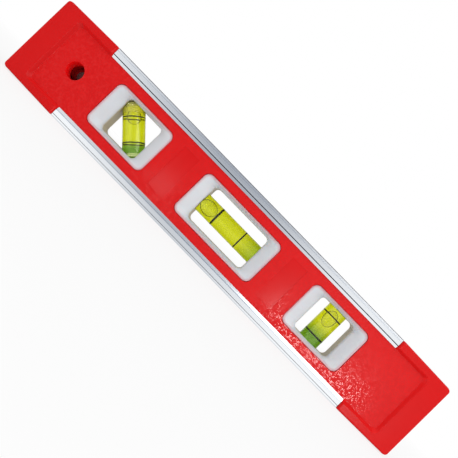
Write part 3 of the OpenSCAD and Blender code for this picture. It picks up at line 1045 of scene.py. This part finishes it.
@dataclass
class VialSet:
    """A vial with its plug, its lines, its liquid and its bubble."""

    station: Station
    far_side: float
    far_from: float
    clear: Material
    frosted: Material
    stained: Material
    paint: Material
    wall: float = 1.0 * MM
    sag: float = 0.15 * MM
    end: float = 1.8 * MM
    plug: float = 2.0 * MM
    line_w: float = 0.5 * MM
    line_d: float = 0.12 * MM
    wet: float = 0.03 * MM
    edge: float = 0.3 * MM
    plug_gap: float = 0.01 * MM
    plug_lift: float = 0.04 * MM
    plug_edge: float = 0.1 * MM
    paint_under: float = 0.005 * MM
    paint_over: float = 0.01 * MM
    frosted_from_end: float = 4.4 * MM
    bore_steps: int = 16
    bubble_steps: int = 24
    yellow: Colour = srgb(234, 230, 40)
    # the liquid's painted shade, greener and darker than its yellow
    green: Colour = srgb(112, 158, 58)
    air: Colour = srgb(252, 252, 225)
    # the bubble's painted dark rim
    air_rim: Colour = srgb(58, 62, 8)

    @property
    def name(self) -> str:
        """The station's name, as the nodes have it."""
        return self.station.label

    @property
    def centre(self) -> Vector:
        """The middle of the vial."""
        low, high = box(f"{self.name}_bezel_front")
        return Vector(((low.x + high.x) / 2, 0.0, MID_HEIGHT))

    @property
    def diameter(self) -> float:
        """The barrel's outer diameter."""
        low, high = box(f"{self.name}_vial")
        return high.y - low.y

    @property
    def length(self) -> float:
        """The barrel's length."""
        return self.station.extent("vial")

    @property
    def line_gap(self) -> float:
        """The distance between the two lines."""
        return self.station.extent("lines") - self.line_w

    @property
    def line_spans(self) -> list[tuple[float, float]]:
        """Where each line starts and ends along the vial."""
        return [(m - self.line_w / 2, m + self.line_w / 2) for m in (-self.line_gap / 2, self.line_gap / 2)]

    @property
    def laid(self) -> Matrix:
        """From a vial along X at the origin to its place in the level."""
        return Matrix.Translation(self.centre) @ self.station.lean

    def bore(self, u: float) -> float:
        """The radius of the barrel-shaped bore at a place along it, from -1 to 1."""
        return self.diameter / 2 - self.wall - self.sag * u * u

    def bore_line(self, grow: float = 0.0) -> list[tuple[float, float]]:
        """Draws the bore from its closed end to the plug.

        Args:
            grow: How much wider it is drawn.

        Returns:
            Pairs of place and radius.
        """
        start, stop = -self.length / 2 + self.end, self.length / 2 - self.plug
        places = [2 * k / self.bore_steps - 1 for k in range(self.bore_steps + 1)]
        return [(start + (stop - start) * (u + 1) / 2, self.bore(u) + grow) for u in places]

    def turned(self, profile: Sequence[tuple[float, float]], steps: int = ROUND_STEPS) -> Bench:
        """Turns an outline and lays it along the vial's axis.

        Args:
            profile: Pairs of place and radius.
            steps: Facets in a full turn.

        Returns:
            The bench.
        """
        bench = Bench()
        bench.lathe(profile, steps)
        bench.place(self.laid)
        return bench

    def barrel(self) -> None:
        """Makes the clear barrel, frosted round its plug."""
        radius, half, edge = self.diameter / 2, self.length / 2, self.edge
        rough = self.frosted_from_end if self.station is Station.DIAGONAL else self.plug
        bevel = edge * 0.3
        outer = [(-half, 0.0), (-half, radius - edge)]
        outer += [(-half + bevel, radius - bevel), (-half + edge, radius)]
        for a, b in self.line_spans:
            outer += [(a, radius), (a, radius - self.line_d), (b, radius - self.line_d), (b, radius)]
        outer += [(half - rough, radius), (half - edge, radius), (half - bevel, radius - bevel)]
        seat = self.bore(1.0)
        inner = [(half, radius - edge), (half, seat), (half - self.plug, seat), *self.bore_line()[-2::-1]]
        barrel = self.turned([*outer, *inner, (-half + self.end, 0.0)])
        back = self.laid.inverted()
        for face in barrel.bm.faces:
            face.material_index = int((back @ face.calc_center_median()).x > half - rough)
        barrel.piece(
            f"{self.name}_vial_barrel", f"{self.name}_vial", "vial", [self.clear, self.frosted], crease=40.0,
            even=False,
        )

    def stopper(self) -> None:
        """Makes the plug with its dimple, in plastic tinted yellow as a painted glow of the liquid's light.
        """
        r, half, dimple = self.bore(1.0) - self.plug_gap, self.length / 2, self.plug / 3
        foot, edge = half - self.plug + self.plug_lift, self.plug_edge
        profile = [(foot, 0.0), (foot, r), (half - edge, r), (half, r - edge)]
        profile += [(half, r / 2), (half - dimple, r / 2 - dimple / 2), (half - dimple, 0.0)]
        stopper = self.turned(profile, 64)
        stopper.piece(f"{self.name}_plug_stopper", f"{self.name}_plug", "vial", [self.stained], even=False)

    def rings(self) -> None:
        """Makes the two black lines."""
        bench = Bench()
        inside = self.diameter / 2 - self.line_d + self.paint_under
        outside = self.diameter / 2 + self.paint_over
        for a, b in self.line_spans:
            bench.lathe([(a, inside), (a, outside), (b, outside), (b, inside)])
        bench.place(self.laid)
        bench.piece(f"{self.name}_line_rings", f"{self.name}_lines", "line", [self.paint], even=False)

    def filling(self) -> None:
        """Makes the liquid, which wets the bore."""
        liquid = ClearMoulding(
            f"{self.name}_liquid_yellow", self.yellow, 1.36, self.green, math.radians(self.station.value),
            tuple(self.centre), self.far_side * self.length / 2, self.far_from,
        )
        line = self.bore_line(self.wet)
        profile = [(line[0][0] - self.wet, 0.0), (line[0][0] - self.wet, line[0][1]), *line[1:-1]]
        profile += [(line[-1][0] + self.wet, line[-1][1]), (line[-1][0] + self.wet, 0.0)]
        filling = self.turned(profile)
        filling.piece(
            f"{self.name}_liquid_filling", f"{self.name}_liquid", "liquid", [liquid.material()], crease=40.0,
            even=False,
        )

    def bubble(self) -> None:
        """Makes the bubble, which rides on its own body."""
        air = ClearMoulding(f"{self.name}_air", self.air, 1.06, rim=self.air_rim)
        low, high = box(f"{self.name}_bubble")
        size, middle = high - low, (low + high) / 2 - self.centre
        at = (self.station.lean.inverted() @ middle).x
        width, length = size.y, max(size.x, size.z)
        if self.station is Station.DIAGONAL:
            length = math.sqrt(2 * size.x ** 2 - width ** 2)
        turns = [math.pi * k / self.bubble_steps for k in range(1, self.bubble_steps)]
        skin = [(at - length / 2 * math.cos(a), width / 2 * math.sin(a)) for a in turns]
        self.turned([(at - length / 2, 0.0), *skin, (at + length / 2, 0.0)], 64).piece(
            f"{self.name}_bubble_air", f"{self.name}_bubble", "bubble", [air.material()],
            f"{self.name}_bubble", crease=60.0, even=False,
        )

    def build(self) -> None:
        """Makes all the vial's pieces."""
        for make in (self.barrel, self.stopper, self.rings, self.filling, self.bubble):
            make()


@dataclass
class Windows:
    """The three windows with their frames and vials.

    For each station, greener says how far along the liquid is wholly green, in half lengths of the
    vial from its middle, and at what share of that way it starts to turn. The green is painted shade.
    """

    wide: float = 32.0 * MM
    narrow: float = 19.2 * MM
    white: Colour = srgb(224, 228, 232)
    # the pink painted glow of the red shell on the frames' outer edges
    blush: Colour = srgb(226, 160, 168)
    # olive painted shade on the frames' inner walls, with the vials' yellow light painted in
    shade: Colour = srgb(190, 174, 132)
    greener: dict[Station, tuple[float, float]] = field(default_factory=lambda: {
        Station.LEVEL: (1.05, 0.3), Station.PLUMB: (-0.5, -0.1), Station.DIAGONAL: (-0.6, 0.6),
    })

    def build(self) -> None:
        """Makes every frame and vial."""
        white = MouldedPlastic(
            "bezel_white", self.white, 0.36, 0.4, glow=0.8, blush=self.blush, shade=self.shade
        ).material()
        vials = (
            ClearMoulding("vial_clear", srgb(240, 245, 172), 1.45),
            ClearMoulding("vial_frosted", srgb(250, 250, 168), 1.45, rippled=0.5 * MM, clarity=0.92),
            # the plug's yellow: a painted glow of the liquid's light
            ClearMoulding("vial_stained", srgb(226, 222, 100), 1.40, rippled=0.35 * MM, clarity=0.7),
            LINE_PAINT,
        )
        finishes = [finish.material() for finish in vials]
        for station, (far_side, far_from) in self.greener.items():
            for side in Side:
                Bezel(station, side, self.wide if station is Station.LEVEL else self.narrow).build(white)
            VialSet(station, far_side, far_from, *finishes).build()


# The studio


@dataclass(frozen=True)
class Lamp:
    """A soft lamp, which shines on all pieces or on one group only."""

    name: str
    place: tuple[float, float, float]
    aim: tuple[float, float, float]
    size: tuple[float, float]
    power: float
    only: str | None = None

    def hang(self) -> None:
        """Hangs the lamp in the scene."""
        data = bpy.data.lights.new(self.name, "AREA")
        data.shape = "RECTANGLE"
        data.size, data.size_y = self.size
        data.energy = self.power
        lamp = stand(self.name, data)
        lamp.location = self.place
        lamp.rotation_mode = "QUATERNION"
        lamp.rotation_quaternion = (Vector(self.aim) - Vector(self.place)).to_track_quat("-Z", "Y")
        if self.only is not None:
            lamp.light_linking.receiver_collection = bpy.data.collections[self.only]


@dataclass
class Studio:
    """The floor, the lamps, the surroundings and the camera."""

    frame_px: float = 458.0
    eye: tuple[float, float, float] = (14.2 * MM, -271.0 * MM, 22.1 * MM)
    roll: float = 45.808
    pitch: float = 0.975
    yaw: float = 0.106
    focal_px: float = 622.6
    centre_px: tuple[float, float] = (261.2, 240.3)
    ambient: float = 0.71
    dim: Colour = (0.17, 0.20, 0.26)
    bright: Colour = (1.17, 1.16, 1.13)
    behind: Colour = (0.80, 0.80, 0.80)
    above: Colour = (0.08, 0.08, 0.10)
    pale: Colour = (0.86, 0.86, 0.86)
    floor_radius: float = 1.5
    floor_drop: float = 0.02 * MM
    heights: tuple[tuple[float, float], ...] = (
        (-1.0, 0.30), (-0.6, 0.26), (-0.3, 0.66), (-0.08, 0.60), (0.06, 0.24), (0.13, 0.22),
        (0.25, 0.0), (0.7, 0.0), (0.88, 0.45), (1.0, 0.62),
    )
    lamps: tuple[Lamp, ...] = (
        Lamp("key", (0.178, -0.609, -0.023), (0.06, 0.0, 0.01), (0.16, 0.028), 0.60, "shells"),
        Lamp("top", (0.35, -0.45, 0.5), (0.05, 0.0, 0.02), (0.5, 0.5), 1.6),
        Lamp("glint", (-0.34, -0.34, 0.19), (-0.01, 0.0, 0.02), (0.05, 0.05), 0.35, "glass"),
        Lamp("low", (-0.121, -0.535, -0.008), (-0.03, 0.0, 0.01), (0.05, 0.03), 0.025, "shells"),
    )

    def camera(self) -> None:
        """Sets the camera nearly square to the front face, rolled as the picture is."""
        data = bpy.data.cameras.new("camera")
        data.sensor_width = 36.0
        data.lens = self.focal_px / self.frame_px * data.sensor_width
        data.shift_x = (self.frame_px / 2 - self.centre_px[0]) / self.frame_px
        data.shift_y = (self.centre_px[1] - self.frame_px / 2) / self.frame_px
        data.clip_start, data.clip_end = 0.01, 20.0
        camera = stand("camera", data)
        turn = math.radians(self.roll)
        right = Vector((math.cos(turn), 0.0, math.sin(turn)))
        up = Vector((-math.sin(turn), 0.0, math.cos(turn)))
        back = Vector((0.0, -1.0, 0.0))
        yaw = Matrix.Rotation(math.radians(self.yaw), 3, "Z")
        pitch = Matrix.Rotation(math.radians(self.pitch), 3, "X")
        axes = yaw @ pitch @ Matrix((right, up, back)).transposed()
        camera.matrix_world = Matrix.Translation(self.eye) @ axes.to_4x4()
        bpy.context.scene.camera = camera

    def surroundings(self) -> None:
        """Lights the scene from all round: white to the eye, and a dim and bright room in a shine."""
        g = Graph("studio", world=True)
        bpy.context.scene.world = g.owner
        x, y, z = g.add("ShaderNodeSeparateXYZ", None, Vector=g.place).outputs
        right = g.between(x, 0.0, 0.62, -0.09, 0.20, "SMOOTHSTEP")
        left = g.between(x, 0.0, 0.66, -0.12, -0.46, "SMOOTHSTEP")
        ladder = g.add("ShaderNodeValToRGB", None, Fac=g.between(z, 0.0, 1.0, -1.0, 1.0))
        rungs = ladder.color_ramp.elements
        for _ in self.heights[2:]:
            rungs.new(0.5)
        for rung, (height, grey) in zip(rungs, self.heights):
            rung.position, rung.color = (height + 1) / 2, (grey, grey, grey, 1.0)
        glow = g.combine("ADD", g.combine("ADD", right, left), ladder.outputs["Color"])
        back = g.over(g.between(z, 0.0, 1.0, 0.2, 0.5, "SMOOTHSTEP"), self.behind, self.above)
        front = g.over(glow, self.dim, self.bright)
        room = g.over(g.between(y, 0.0, 1.0, 0.2, -0.1, "SMOOTHSTEP"), back, front)
        ambient, mirrored, white = (
            g.add("ShaderNodeBackground", None, Color=colour, Strength=strength).outputs[0]
            for colour, strength in ((WHITE, self.ambient), (room, 1.0), (WHITE, 1.0))
        )
        glossy = g.add("ShaderNodeLightPath").outputs["Is Glossy Ray"]
        g.feed(g.end, g.cover(g.seen(), g.cover(glossy, ambient, mirrored), white))

    def floor(self) -> None:
        """Lays a pale floor that keeps a faint shadow near the level and fades to white."""
        bench = Bench()
        bmesh.ops.create_circle(bench.bm, cap_ends=True, radius=self.floor_radius, segments=ROUND_STEPS)
        bench.place(Matrix.Translation((0.0, 0.0, -self.floor_drop)))
        floor = bench.object("floor")
        g = Graph("floor_pale")
        g.surface(Base_Color=self.pale, Roughness=0.9)
        shine = g.add("ShaderNodeEmission", None, Color=WHITE, Strength=1.0).outputs[0]
        away = g.join("ShaderNodeVectorMath", {"operation": "LENGTH"}, {0: g.place}, 1)
        share = g.combine("MULTIPLY", g.seen(), g.between(away, 0.82, 1.0, 0.12, 0.5))
        g.feed(g.end, g.cover(share, g.shader.outputs[0], shine))
        floor.data.materials.append(g.owner)
        floor.visible_glossy = False
        floor.visible_shadow = False

    def group(self, name: str, pieces: Iterable[str]) -> None:
        """Gathers pieces that a lamp can shine on alone.

        Args:
            name: What the group is called.
            pieces: The pieces' names.
        """
        group = bpy.data.collections.new(name)
        for piece in pieces:
            group.objects.link(bpy.data.objects[piece])

    def build(self) -> None:
        """Sets up the whole studio."""
        bpy.context.scene.view_settings.view_transform = "Standard"
        self.camera()
        self.surroundings()
        self.floor()
        self.group("shells", ("front_shell_moulding", "rear_shell_moulding"))
        ends = ("bubble_air", "liquid_filling", "vial_barrel", "plug_stopper")
        self.group("glass", (f"{station.label}_{end}" for station in Station for end in ends))
        for lamp in self.lamps:
            lamp.hang()


def main() -> None:
    """Builds the level and its studio in order."""
    logging.basicConfig(level=logging.INFO, format="%(name)s: %(message)s")
    for part in (*map(HalfShell, Side), Rails(), Windows(), Studio()):
        part.build()
        log.info("%s done", type(part).__name__)


if __name__ == "__main__":
    main()
